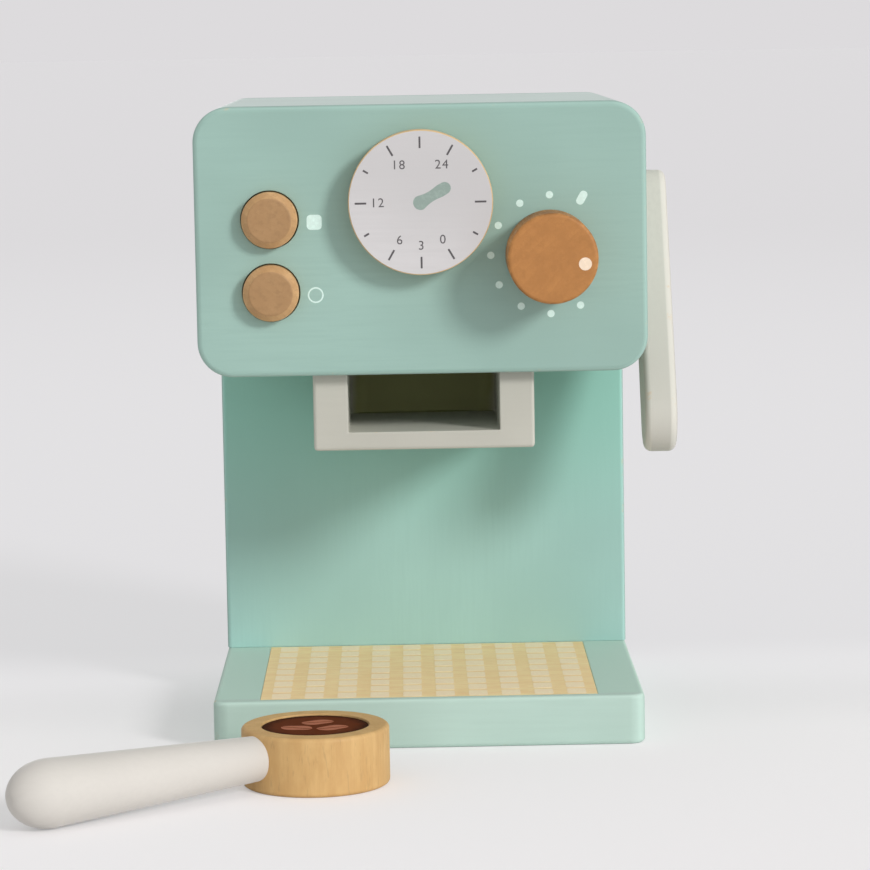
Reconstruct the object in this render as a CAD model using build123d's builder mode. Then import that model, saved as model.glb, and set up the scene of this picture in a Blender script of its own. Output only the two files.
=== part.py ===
"""Toy coffee maker of painted wood, with a dial, a knob, two push buttons, a side lever
and a loose portafilter.

Units are millimetres. X runs to the right of a child who faces the machine, Y runs from
the front to the back and Z runs up. The origin is the centre of the base's underside.
"""

import os
from math import cos, radians, sin, sqrt

from build123d import *

os.makedirs("parts", exist_ok=True)

# Overall sizes
head_width = 141.5
head_height = 84.5
machine_depth = 150.0  # the head and the base are flush at the front and at the back
base_width = 137.5  # the column is as wide as the base
base_thickness = 16.0
column_height = 103.5
column_depth = 52.0

# Boards
board_thickness = 9.0  # column panels and the head's ring of boards
front_panel_thickness = 9.0
rear_panel_thickness = 6.0
head_corner_radius = 11.0
base_corner_radius = 5.0
panel_edge_radius = 1.8
base_edge_radius = 1.5
column_edge_radius = 1.5

# Drip tray plate, let into the base
tray_width = 108.0
tray_front_margin = 3.0
tray_thickness = 3.0
tray_clearance = 0.25

# Portafilter
cup_diameter = 45.0
cup_height = 18.0
cup_edge_radius = 1.3
cup_x = -35.0
cup_distance = 47.0  # from the front of the base to the middle of the cup
coffee_diameter = 32.5
coffee_thickness = 2.5
coffee_sink = 0.5  # the coffee disc lies this far below the rim
coffee_clearance = 0.15
handle_angle = 216.0  # degrees from +X, seen from above
handle_axis_height = 10.4
handle_neck_diameter = 13.6
handle_grip_diameter = 20.4
handle_length = 84.0
handle_nose_length = 13.0
neck_clearance = 0.1
cup_dowel_depth = 12.0
handle_dowel_depth = 20.0

# Holder under the head, which takes the cup of the portafilter
slot_side_clearance = 1.5
slot_top_clearance = 0.8
slot_depth = 58.0
slot_corner_radius = 6.0
holder_wall = 11.0
holder_floor = 5.8
holder_depth = 72.0
holder_setback = 7.0
holder_edge_radius = 1.2

# Turning fits
running_clearance = 0.05
turning_gap = 0.3
axle_diameter = 8.0
axle_socket_depth = 5.5
retainer_diameter = 20.0
retainer_thickness = 4.0

# Dial
dial_diameter = 45.0
dial_thickness = 8.7
dial_edge_radius = 0.9
dial_drop = 30.2  # below the top of the head

# Knob
knob_diameter = 28.0
knob_length = 21.7
knob_edge_radius = 1.0
knob_offset = 40.3  # to the right of the middle
knob_drop = 47.5

# Push buttons and what springs them back
button_diameter = 17.5
button_proud = 6.0
button_chamfer = 2.0
button_clearance = 0.4
button_offset = 47.2  # to the left of the middle
button_drop = 35.2
button_spacing = 22.8
flange_diameter = 22.0
flange_thickness = 3.0
stem_diameter = 6.0
stem_clearance = 0.3
stem_tail = 3.0  # behind the backplate when the button is out
spring_room = 10.0  # between the flange and the backplate
spring_coil_diameter = 10.0
spring_wire = 0.9
spring_turns = 5
spring_end_gap = 0.05
backplate_thickness = 6.0
backplate_margin = 15.4  # above and below the button axes
post_offset = 19.0  # to the right of the button axes
post_diameter = 8.0

# Lever on the right side
lever_thickness = 10.5
lever_washer_thickness = 0.8
lever_washer_width = 4.0
lever_axle_diameter = 10.0
lever_socket_depth = 6.0
lever_top_radius = 10.0
lever_end_radius = 12.5
lever_centres = 77.0  # from the pivot to the middle of the rounded end
lever_lean = 28.0  # degrees forward of straight down
lever_edge_radius = 2.5
lever_setback = 80.0  # from the head's front to the pivot
lever_drop = 35.0  # below the top of the head

# Dowels and screws
dowel_diameter = 6.0
dowel_chamfer = 0.6
dowel_offset = 45.0  # either side of the middle
base_dowel_depth = 10.0
column_dowel_depth = 14.0
head_dowel_depth = 7.0
panel_dowel_depth = 5.0
ring_dowel_depth = 10.0
holder_dowel_spacing = 44.0
screw_diameter = 3.5
screw_head_diameter = 7.0
screw_head_height = 2.2
base_screw_length = 38.0
base_screw_spacing = 18.0
rear_screw_length = 24.0
column_screw_inset = 30.0
head_screw_inset = 20.0
small_screw_diameter = 3.0
small_screw_length = 12.0
small_head_diameter = 6.4
small_head_top_diameter = 4.8
small_head_height = 2.0
pilot_clearance = 1.0  # beyond the tip of each small screw
cross_length = 3.2
cross_width = 0.8
cross_depth = 1.1

# Places worked out from the sizes
front_y = -machine_depth / 2
rear_y = machine_depth / 2
ring_front_y = front_y + front_panel_thickness
ring_rear_y = rear_y - rear_panel_thickness
column_front_y = rear_y - column_depth
column_inner_y = column_front_y + board_thickness
column_dowel_y = column_front_y + board_thickness / 2
base_side_x = base_width / 2
head_side_x = head_width / 2
head_bottom_z = base_thickness + column_height
head_top_z = head_bottom_z + head_height
head_centre_z = (head_bottom_z + head_top_z) / 2
dial_axis = (0, head_top_z - dial_drop)
knob_axis = (knob_offset, head_top_z - knob_drop)
upper_button_axis = (-button_offset, head_top_z - button_drop)
lower_button_axis = (-button_offset, head_top_z - button_drop - button_spacing)
button_axes = [upper_button_axis, lower_button_axis]
post_axes = [(x + post_offset, z) for x, z in button_axes]
turned_back_y = front_y - turning_gap
lever_pivot = (front_y + lever_setback, head_top_z - lever_drop)
lever_inner_x = head_side_x + lever_washer_thickness + turning_gap
standing = (Align.CENTER, Align.CENTER, Align.MIN)
hanging = (Align.CENTER, Align.CENTER, Align.MAX)


def facing_front(y):
    """The upright plane at y that faces the front; its sketches are drawn in X and Z."""
    return Plane.XZ.offset(-y)


def export_piece(piece, name):
    """Label a finished piece and write its STEP file."""
    piece.part.label = name
    export_step(piece.part, f"parts/{name}.step")


def bore(plane, places, diameter, length):
    """Drill round holes that start on the plane and run against its normal."""
    with Locations(plane):
        with Locations(*places):
            Cylinder(diameter / 2, length, align=hanging, mode=Mode.SUBTRACT)


def rods(plane, places, diameter, length):
    """Round rods with eased ends that start on the plane and run against its normal."""
    with BuildPart() as group:
        with Locations(plane):
            with Locations(*places):
                Cylinder(diameter / 2, length, align=hanging)
        chamfer(group.edges().filter_by(GeomType.CIRCLE), dowel_chamfer)
    return group


def ring(plane, place, outer_diameter, inner_diameter, length):
    """A round washer that starts on the plane and runs against its normal."""
    with BuildPart() as washer:
        with Locations(plane):
            with Locations(place):
                Cylinder(outer_diameter / 2, length, align=hanging)
                Cylinder(inner_diameter / 2, length, align=hanging, mode=Mode.SUBTRACT)
    return washer


def driver_cross(align):
    """The cross recess in a screw head at each location."""
    Box(cross_length, cross_width, cross_depth, align=align, mode=Mode.SUBTRACT)
    Box(cross_width, cross_length, cross_depth, align=align, mode=Mode.SUBTRACT)


def countersunk_form(length, mode=Mode.ADD):
    """A countersunk screw at each location, its head level with the location's plane."""
    head = screw_head_diameter / 2
    shank = screw_diameter / 2
    Cylinder(shank, length, align=standing, mode=mode)
    Cone(head, shank, screw_head_height, align=standing, mode=mode)


def countersunk_screws(plane, places, length):
    """Countersunk screws that start on the plane and run along its normal."""
    with BuildPart() as group:
        with Locations(plane):
            with Locations(*places):
                countersunk_form(length)
                driver_cross(standing)
    return group


def countersunk_holes(plane, places, length):
    """The holes that countersunk screws of that length fill."""
    with Locations(plane):
        with Locations(*places):
            countersunk_form(length, Mode.SUBTRACT)


def small_screws(*seats):
    """Pan head screws; each seat is a plane under a head, facing away from the wood."""
    with BuildPart() as group:
        with Locations(*seats):
            Cylinder(small_screw_diameter / 2, small_screw_length, align=hanging)
            Cone(
                small_head_diameter / 2,
                small_head_top_diameter / 2,
                small_head_height,
                align=standing,
            )
            with Locations((0, 0, small_head_height)):
                driver_cross(hanging)
    return group


def pilot_holes(*seats):
    """The holes for small screws, drilled from their seats."""
    depth = small_screw_length + pilot_clearance
    with Locations(*seats):
        Cylinder(small_screw_diameter / 2, depth, align=hanging, mode=Mode.SUBTRACT)


# ---- Base and drip tray ----

base_dowel_places = [(x, column_dowel_y) for x in (-dowel_offset, 0, dowel_offset)]
side_panel_x = base_side_x - board_thickness / 2
base_screw_middle_y = (column_inner_y + ring_rear_y) / 2
base_screw_places = [
    (x, base_screw_middle_y + y)
    for x in (-side_panel_x, side_panel_x)
    for y in (-base_screw_spacing / 2, base_screw_spacing / 2)
]
tray_front_y = front_y + tray_front_margin
tray_length = column_front_y - tray_front_y
tray_middle_y = (tray_front_y + column_front_y) / 2

with BuildPart() as base_board:
    with BuildSketch() as base_outline:
        Rectangle(base_width, machine_depth)
        fillet(base_outline.vertices().sort_by(Axis.Y)[:2], base_corner_radius)
        fillet(base_outline.vertices().sort_by(Axis.Y)[-2:], column_edge_radius)
    extrude(amount=base_thickness)
    flat_faces = base_board.faces().filter_by(Axis.Z)
    fillet(flat_faces.edges(), base_edge_radius)
    with BuildSketch(Plane.XY.offset(base_thickness)):
        with Locations((0, tray_middle_y)):
            Rectangle(tray_width, tray_length)
    extrude(amount=-tray_thickness, mode=Mode.SUBTRACT)
    bore(Plane.XY.offset(base_thickness), base_dowel_places, dowel_diameter, base_dowel_depth)
    countersunk_holes(Plane.XY, base_screw_places, base_screw_length)
export_piece(base_board, "base_board")

with BuildPart() as drip_tray_plate:
    with BuildSketch(Plane.XY.offset(base_thickness)):
        with Locations((0, tray_middle_y)):
            Rectangle(tray_width - 2 * tray_clearance, tray_length - 2 * tray_clearance)
    extrude(amount=-tray_thickness)
export_piece(drip_tray_plate, "drip_tray_plate")

# ---- Column ----

column_dowel_places = [(x, column_dowel_y) for x in (-dowel_offset, dowel_offset)]
column_screw_places = [
    (x, z)
    for x in (-side_panel_x, side_panel_x)
    for z in (base_thickness + column_screw_inset, head_bottom_z - column_screw_inset)
]
side_panel_depth = ring_rear_y - column_inner_y


def rear_screw_holes(places):
    """Holes for screws that go in from the back."""
    countersunk_holes(facing_front(rear_y), places, rear_screw_length)


with BuildPart() as column_front_panel:
    with BuildSketch(Plane.XY.offset(base_thickness)):
        with Locations((0, column_dowel_y)):
            Rectangle(base_width, board_thickness)
    extrude(amount=column_height)
    front_face = column_front_panel.faces().sort_by(Axis.Y)[0]
    fillet(front_face.edges().filter_by(Axis.Z), column_edge_radius)
    dowel_start = Plane.XY.offset(base_thickness + column_dowel_depth)
    bore(dowel_start, base_dowel_places, dowel_diameter, column_dowel_depth)
    bore(Plane.XY.offset(head_bottom_z), column_dowel_places, dowel_diameter, column_dowel_depth)
export_piece(column_front_panel, "column_front_panel")


def column_side_panel(side):
    """The side panel of the column on the left (-1) or on the right (1)."""
    with BuildPart() as panel:
        with BuildSketch(Plane.XY.offset(base_thickness)):
            with Locations((side * side_panel_x, base_screw_middle_y)):
                Rectangle(board_thickness, side_panel_depth)
        extrude(amount=column_height)
        countersunk_holes(Plane.XY, base_screw_places, base_screw_length)
        rear_screw_holes(column_screw_places)
    return panel


column_left_panel = column_side_panel(-1)
export_piece(column_left_panel, "column_left_panel")

column_right_panel = column_side_panel(1)
export_piece(column_right_panel, "column_right_panel")

with BuildPart() as column_rear_cover:
    with BuildSketch(Plane.XY.offset(base_thickness)):
        with Locations((0, rear_y - rear_panel_thickness / 2)):
            Rectangle(base_width, rear_panel_thickness)
    extrude(amount=column_height)
    rear_face = column_rear_cover.faces().sort_by(Axis.Y)[-1]
    fillet(rear_face.edges().filter_by(Axis.Z), column_edge_radius)
    rear_screw_holes(column_screw_places)
export_piece(column_rear_cover, "column_rear_cover")

# ---- Head: a ring of four boards between a front and a rear panel ----

ring_side_x = head_side_x - board_thickness
ring_bottom_z = head_bottom_z + board_thickness
ring_top_z = head_top_z - board_thickness
head_screw_x = head_side_x - board_thickness / 2
head_screw_places = [
    (x, z)
    for x in (-head_screw_x, head_screw_x)
    for z in (head_bottom_z + head_screw_inset, head_top_z - head_screw_inset)
]
panel_dowel_places = [
    (x, z)
    for x in (-dowel_offset, dowel_offset)
    for z in (head_bottom_z + board_thickness / 2, head_top_z - board_thickness / 2)
]
slot_width = cup_diameter + 2 * slot_side_clearance
slot_height = cup_height + slot_top_clearance
holder_width = slot_width + 2 * holder_wall
holder_height = slot_height + holder_floor
holder_front_y = front_y + holder_setback
holder_middle_y = holder_front_y + holder_depth / 2
holder_dowel_x = (holder_width - holder_wall) / 2
holder_dowel_places = [
    (x, holder_middle_y + y)
    for x in (-holder_dowel_x, holder_dowel_x)
    for y in (-holder_dowel_spacing / 2, holder_dowel_spacing / 2)
]
ring_dowel_start = facing_front(ring_front_y - panel_dowel_depth)
ring_dowel_length = panel_dowel_depth + ring_dowel_depth
axle_bore = axle_diameter + 2 * running_clearance
button_bore = button_diameter + 2 * button_clearance


def head_outline():
    """The rounded outline of the head, drawn in a sketch that faces the front."""
    with Locations((0, head_centre_z)):
        RectangleRounded(head_width, head_height, head_corner_radius)


def head_board(left, right, bottom, top):
    """A board of the ring, cut to the head's rounded outline."""
    with BuildPart() as board:
        with BuildSketch(facing_front(ring_front_y)):
            head_outline()
            with Locations(((left + right) / 2, (bottom + top) / 2)):
                Rectangle(right - left, top - bottom, mode=Mode.INTERSECT)
        extrude(amount=ring_front_y - ring_rear_y)
        bore(ring_dowel_start, panel_dowel_places, dowel_diameter, ring_dowel_length)
        rear_screw_holes(head_screw_places)
    return board


head_top_board = head_board(-head_side_x, head_side_x, ring_top_z, head_top_z)
export_piece(head_top_board, "head_top_board")

with BuildPart() as head_bottom_board:
    add(head_board(-head_side_x, head_side_x, head_bottom_z, ring_bottom_z).part)
    under_dowels = Plane.XY.offset(head_bottom_z + head_dowel_depth)
    bore(under_dowels, column_dowel_places, dowel_diameter, head_dowel_depth)
    bore(under_dowels, holder_dowel_places, dowel_diameter, head_dowel_depth)
export_piece(head_bottom_board, "head_bottom_board")

head_left_board = head_board(-head_side_x, -ring_side_x, ring_bottom_z, ring_top_z)
export_piece(head_left_board, "head_left_board")

lever_bore = lever_axle_diameter + 2 * running_clearance

with BuildPart() as head_right_board:
    add(head_board(ring_side_x, head_side_x, ring_bottom_z, ring_top_z).part)
    bore(Plane.YZ.offset(head_side_x), [lever_pivot], lever_bore, board_thickness)
export_piece(head_right_board, "head_right_board")

with BuildPart() as head_front_panel:
    with BuildSketch(facing_front(front_y)):
        head_outline()
        with Locations(dial_axis, knob_axis):
            Circle(axle_bore / 2, mode=Mode.SUBTRACT)
        with Locations(*button_axes):
            Circle(button_bore / 2, mode=Mode.SUBTRACT)
    extrude(amount=-front_panel_thickness)
    face_rim = head_front_panel.faces().sort_by(Axis.Y)[0].outer_wire()
    fillet(face_rim.edges(), panel_edge_radius)
    bore(ring_dowel_start, panel_dowel_places, dowel_diameter, ring_dowel_length)
export_piece(head_front_panel, "head_front_panel")

with BuildPart() as head_rear_panel:
    with BuildSketch(facing_front(ring_rear_y)):
        head_outline()
    extrude(amount=-rear_panel_thickness)
    fillet(head_rear_panel.faces().sort_by(Axis.Y)[-1].edges(), panel_edge_radius)
    rear_screw_holes(head_screw_places)
export_piece(head_rear_panel, "head_rear_panel")

# ---- Holder with the slot for the portafilter's cup ----

with BuildPart() as holder:
    with BuildSketch(Plane.XY.offset(head_bottom_z)):
        with Locations((0, holder_middle_y)):
            Rectangle(holder_width, holder_depth)
    extrude(amount=-holder_height)
    fillet(holder.edges().filter_by(Axis.Z), holder_edge_radius)
    fillet(holder.faces().sort_by(Axis.Z)[0].edges(), holder_edge_radius)
    with BuildSketch(Plane.XY.offset(head_bottom_z)) as slot_outline:
        with Locations((0, holder_front_y + slot_depth / 2)):
            Rectangle(slot_width, slot_depth)
        fillet(slot_outline.vertices().sort_by(Axis.Y)[-2:], slot_corner_radius)
    extrude(amount=-slot_height, mode=Mode.SUBTRACT)
    bore(Plane.XY.offset(head_bottom_z), holder_dowel_places, dowel_diameter, head_dowel_depth)
export_piece(holder, "holder")

# ---- Dial and knob: each turns on an axle that a screwed disc holds from behind ----

axle_end_y = ring_front_y + turning_gap
retainer_rear_y = axle_end_y + retainer_thickness
axle_front_y = turned_back_y - axle_socket_depth


def turning_parts(axis):
    """The axle, the retaining disc and the screw of a part that turns on the front."""
    x, z = axis
    seat = Plane(origin=(x, retainer_rear_y, z), z_dir=(0, 1, 0))
    axle_length = axle_end_y - axle_front_y
    with BuildPart() as axle:
        add(rods(facing_front(axle_front_y), [axis], axle_diameter, axle_length).part)
        pilot_holes(seat)
    retainer = ring(
        facing_front(axle_end_y), axis, retainer_diameter, small_screw_diameter, retainer_thickness
    )
    return axle, retainer, small_screws(seat)


with BuildPart() as dial_disc:
    with BuildSketch(facing_front(turned_back_y)):
        with Locations(dial_axis):
            Circle(dial_diameter / 2)
    extrude(amount=dial_thickness)
    fillet(dial_disc.faces().sort_by(Axis.Y)[0].edges(), dial_edge_radius)
    bore(facing_front(axle_front_y), [dial_axis], axle_diameter, axle_socket_depth)
export_piece(dial_disc, "dial_disc")

dial_axle, dial_retainer, dial_screw = turning_parts(dial_axis)
export_piece(dial_axle, "dial_axle")
export_piece(dial_retainer, "dial_retainer")
export_piece(dial_screw, "dial_screw")

with BuildPart() as knob:
    with BuildSketch(facing_front(turned_back_y)):
        with Locations(knob_axis):
            Circle(knob_diameter / 2)
    extrude(amount=knob_length)
    fillet(knob.faces().sort_by(Axis.Y)[0].edges(), knob_edge_radius)
    bore(facing_front(axle_front_y), [knob_axis], axle_diameter, axle_socket_depth)
export_piece(knob, "knob")

knob_axle, knob_retainer, knob_screw = turning_parts(knob_axis)
export_piece(knob_axle, "knob_axle")
export_piece(knob_retainer, "knob_retainer")
export_piece(knob_screw, "knob_screw")

# ---- Push buttons: the flange stops each one behind the panel, a spring pushes it out ----

button_front_y = front_y - button_proud
flange_front_y = ring_front_y + turning_gap
flange_rear_y = flange_front_y + flange_thickness
backplate_front_y = flange_rear_y + spring_room
backplate_rear_y = backplate_front_y + backplate_thickness
stem_end_y = backplate_rear_y + stem_tail
spring_length = spring_room - spring_wire - 2 * spring_end_gap
backplate_left_x = -ring_side_x
backplate_right_x = post_axes[0][0] + post_diameter
backplate_width = backplate_right_x - backplate_left_x
backplate_height = button_spacing + 2 * backplate_margin
backplate_middle = (
    (backplate_left_x + backplate_right_x) / 2,
    (upper_button_axis[1] + lower_button_axis[1]) / 2,
)
post_seats = [Plane(origin=(x, backplate_rear_y, z), z_dir=(0, 1, 0)) for x, z in post_axes]


def push_button(axis):
    """A turned button with its flange and its stem."""
    with BuildPart() as button:
        with Locations(facing_front(button_front_y)):
            with Locations(axis):
                Cylinder(button_diameter / 2, flange_front_y - button_front_y, align=hanging)
        face = button.faces().sort_by(Axis.Y)[0]
        chamfer(face.edges(), button_chamfer)
        with Locations(facing_front(flange_front_y)):
            with Locations(axis):
                Cylinder(flange_diameter / 2, flange_thickness, align=hanging)
                Cylinder(stem_diameter / 2, stem_end_y - flange_front_y, align=hanging)
    return button


def button_spring(axis):
    """The coil spring between the flange and the backplate."""
    x, z = axis
    start_y = flange_rear_y + spring_end_gap + spring_wire / 2
    with BuildPart() as spring:
        with BuildLine():
            coil = Helix(
                pitch=spring_length / spring_turns,
                height=spring_length,
                radius=spring_coil_diameter / 2,
                center=(x, start_y, z),
                direction=(0, 1, 0),
            )
        with BuildSketch(Plane(origin=coil @ 0, z_dir=coil % 0)):
            Circle(spring_wire / 2)
        sweep(path=coil)
    return spring


button_upper = push_button(upper_button_axis)
export_piece(button_upper, "button_upper")

button_lower = push_button(lower_button_axis)
export_piece(button_lower, "button_lower")

button_upper_spring = button_spring(upper_button_axis)
export_piece(button_upper_spring, "button_upper_spring")

button_lower_spring = button_spring(lower_button_axis)
export_piece(button_lower_spring, "button_lower_spring")

with BuildPart() as button_backplate:
    with BuildSketch(facing_front(backplate_front_y)):
        with Locations(backplate_middle):
            Rectangle(backplate_width, backplate_height)
        with Locations(*button_axes):
            Circle(stem_diameter / 2 + stem_clearance, mode=Mode.SUBTRACT)
    extrude(amount=-backplate_thickness)
    pilot_holes(*post_seats)
export_piece(button_backplate, "button_backplate")

post_length = backplate_front_y - ring_front_y
with BuildPart() as backplate_posts:
    add(rods(facing_front(ring_front_y), post_axes, post_diameter, post_length).part)
    pilot_holes(*post_seats)
export_piece(backplate_posts, "backplate_posts")

backplate_screws = small_screws(*post_seats)
export_piece(backplate_screws, "backplate_screws")

# ---- Lever: a paddle on an axle through the right side of the head ----

lever_end = (
    lever_pivot[0] - lever_centres * sin(radians(lever_lean)),
    lever_pivot[1] - lever_centres * cos(radians(lever_lean)),
)
lever_axle_outer_x = lever_inner_x + lever_socket_depth
lever_axle_inner_x = ring_side_x - turning_gap
lever_screw_seat = Plane(
    origin=(lever_axle_inner_x - retainer_thickness, *lever_pivot), z_dir=(-1, 0, 0)
)

with BuildPart() as lever:
    with BuildSketch(Plane.YZ.offset(lever_inner_x)):
        with Locations(lever_pivot):
            Circle(lever_top_radius)
        with Locations(lever_end):
            Circle(lever_end_radius)
        make_hull()
    extrude(amount=lever_thickness)
    fillet(lever.faces().filter_by(Axis.X).edges(), lever_edge_radius)
    bore(Plane.YZ.offset(lever_axle_outer_x), [lever_pivot], lever_axle_diameter, lever_socket_depth)
export_piece(lever, "lever")

lever_washer = ring(
    Plane.YZ.offset(lever_inner_x),
    lever_pivot,
    lever_axle_diameter + 2 * lever_washer_width,
    lever_axle_diameter,
    lever_washer_thickness,
)
export_piece(lever_washer, "lever_washer")

lever_axle_start = Plane.YZ.offset(lever_axle_outer_x)
lever_axle_length = lever_axle_outer_x - lever_axle_inner_x
with BuildPart() as lever_axle:
    add(rods(lever_axle_start, [lever_pivot], lever_axle_diameter, lever_axle_length).part)
    pilot_holes(lever_screw_seat)
export_piece(lever_axle, "lever_axle")

lever_retainer = ring(
    Plane.YZ.offset(lever_axle_inner_x),
    lever_pivot,
    retainer_diameter,
    small_screw_diameter,
    retainer_thickness,
)
export_piece(lever_retainer, "lever_retainer")

lever_screw = small_screws(lever_screw_seat)
export_piece(lever_screw, "lever_screw")

# ---- Portafilter, lying on the table in front of the machine ----

cup_y = front_y - cup_distance
handle_direction = (cos(radians(handle_angle)), sin(radians(handle_angle)), 0)
handle_origin = (cup_x, cup_y, handle_axis_height)
handle_side = (handle_direction[1], -handle_direction[0], 0)
handle_plane = Plane(origin=handle_origin, x_dir=handle_direction, z_dir=handle_side)
handle_axis = Axis(origin=handle_origin, direction=handle_direction)
cup_radius = cup_diameter / 2
neck_radius = handle_neck_diameter / 2
grip_radius = handle_grip_diameter / 2
neck_seat = sqrt(cup_radius**2 - neck_radius**2)
handle_tip = cup_radius + handle_length
grip_end = handle_tip - handle_nose_length
coffee_recess = coffee_thickness + coffee_sink
cup_dowel_start = neck_seat - cup_dowel_depth
dowel_end = neck_seat + handle_dowel_depth


def across_handle(distance):
    """The plane square to the handle, that far from the middle of the cup, facing out."""
    return Plane(
        origin=handle_axis.position + handle_axis.direction * distance,
        z_dir=handle_axis.direction,
    )


with BuildPart() as portafilter_cup:
    with BuildSketch():
        with Locations((cup_x, cup_y)):
            Circle(cup_radius)
    extrude(amount=cup_height)
    fillet(portafilter_cup.edges(), cup_edge_radius)
    with Locations((cup_x, cup_y, cup_height)):
        recess_radius = coffee_diameter / 2 + coffee_clearance
        Cylinder(recess_radius, coffee_recess, align=hanging, mode=Mode.SUBTRACT)
    neck_pocket = handle_neck_diameter + 2 * neck_clearance
    bore(across_handle(cup_radius), [(0, 0)], neck_pocket, cup_radius - neck_seat)
    bore(across_handle(neck_seat), [(0, 0)], dowel_diameter, cup_dowel_depth)
export_piece(portafilter_cup, "portafilter_cup")

with BuildPart() as coffee_disc:
    with BuildSketch(Plane.XY.offset(cup_height - coffee_sink)):
        with Locations((cup_x, cup_y)):
            Circle(coffee_diameter / 2)
    extrude(amount=-coffee_thickness)
export_piece(coffee_disc, "coffee_disc")

with BuildPart() as portafilter_handle:
    with BuildSketch(handle_plane):
        with BuildLine():
            Polyline(
                (grip_end, grip_radius),
                (neck_seat, neck_radius),
                (neck_seat, 0),
                (handle_tip, 0),
            )
            EllipticalCenterArc(
                (grip_end, 0), handle_nose_length, grip_radius, start_angle=0, arc_size=90
            )
        make_face()
    revolve(axis=handle_axis)
    bore(across_handle(dowel_end), [(0, 0)], dowel_diameter, handle_dowel_depth)
export_piece(portafilter_handle, "portafilter_handle")

portafilter_dowel = rods(
    across_handle(dowel_end), [(0, 0)], dowel_diameter, dowel_end - cup_dowel_start
)
export_piece(portafilter_dowel, "portafilter_dowel")

# ---- Dowels and screws that hold the boards together ----

base_dowels = rods(
    Plane.XY.offset(base_thickness + column_dowel_depth),
    base_dowel_places,
    dowel_diameter,
    base_dowel_depth + column_dowel_depth,
)
export_piece(base_dowels, "base_dowels")

column_dowels = rods(
    under_dowels, column_dowel_places, dowel_diameter, head_dowel_depth + column_dowel_depth
)
export_piece(column_dowels, "column_dowels")

holder_dowels = rods(under_dowels, holder_dowel_places, dowel_diameter, 2 * head_dowel_depth)
export_piece(holder_dowels, "holder_dowels")

front_panel_dowels = rods(
    ring_dowel_start, panel_dowel_places, dowel_diameter, ring_dowel_length
)
export_piece(front_panel_dowels, "front_panel_dowels")

base_screws = countersunk_screws(Plane.XY, base_screw_places, base_screw_length)
export_piece(base_screws, "base_screws")

rear_screws = countersunk_screws(
    facing_front(rear_y), column_screw_places + head_screw_places, rear_screw_length
)
export_piece(rear_screws, "rear_screws")
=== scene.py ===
"""A toy coffee maker of painted wood: its visible pieces, finishes and studio stage, built
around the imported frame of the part. Lengths are in metres, in the frame's own axes: X to
the right of a child who faces the machine, -Y towards the child and Z up."""

from contextlib import contextmanager
from itertools import product
from math import cos, pi, radians, sin

import bmesh
import bpy
from bpy.props import FloatProperty, FloatVectorProperty, IntProperty, PointerProperty
from mathutils import Matrix, Vector


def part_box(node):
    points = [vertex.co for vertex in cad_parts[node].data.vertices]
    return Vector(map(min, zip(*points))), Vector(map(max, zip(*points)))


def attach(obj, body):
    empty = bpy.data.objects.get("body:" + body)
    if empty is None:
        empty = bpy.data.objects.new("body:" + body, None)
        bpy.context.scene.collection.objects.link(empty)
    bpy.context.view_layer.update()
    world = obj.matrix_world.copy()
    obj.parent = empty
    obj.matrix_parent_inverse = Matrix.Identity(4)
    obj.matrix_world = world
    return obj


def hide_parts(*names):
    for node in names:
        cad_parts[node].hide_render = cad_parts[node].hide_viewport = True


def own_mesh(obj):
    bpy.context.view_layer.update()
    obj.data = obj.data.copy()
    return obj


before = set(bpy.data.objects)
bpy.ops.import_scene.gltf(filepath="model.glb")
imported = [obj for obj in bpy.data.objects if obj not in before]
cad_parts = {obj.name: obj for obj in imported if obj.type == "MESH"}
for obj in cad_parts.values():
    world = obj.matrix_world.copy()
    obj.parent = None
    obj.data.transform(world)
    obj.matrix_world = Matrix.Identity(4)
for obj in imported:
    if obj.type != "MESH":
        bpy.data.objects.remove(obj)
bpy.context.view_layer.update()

bl_info = {
    "name": "Toy Coffee Maker",
    "version": (1, 0, 0),
    "blender": (4, 5, 0),
    "location": "View3D > Sidebar > Coffee Maker",
    "description": "Builds a wooden toy coffee maker around its CAD frame",
    "category": "Object",
}

MM = 0.001
NEAR = 1e-6
RIGHT = Vector((1, 0, 0))
FRONT = Vector((0, -1, 0))
UP = Vector((0, 0, 1))
AXES = ("X", "Y", "Z")


# ---- What a user can change ----


def linear(level):
    """A screen colour level from 0 to 255 as a linear value."""
    level /= 255
    return level / 12.92 if level <= 0.04045 else ((level + 0.055) / 1.055) ** 2.4


def triple(name, description, subtype, default, **settings):
    """A property of three numbers."""
    return FloatVectorProperty(
        name=name, description=description, subtype=subtype, default=default, **settings
    )


def colour(name, description, *screen):
    """A colour property whose default is given as screen levels."""
    levels = [linear(level) for level in screen]
    return triple(name, description, "COLOR", levels, min=0, max=1)


def amount(name, description, default, least=0, **settings):
    """A number property that has a least value."""
    return FloatProperty(
        name=name, description=description, min=least, default=default, **settings
    )


def length(name, description, millimetres):
    """A length property whose default is given in millimetres."""
    metres = millimetres * MM
    return amount(name, description, metres, subtype="DISTANCE", unit="LENGTH", precision=5)


def angle(name, description, degrees):
    """An angle property whose default is given in degrees."""
    return amount(name, description, radians(degrees), -pi, subtype="ANGLE")


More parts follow.
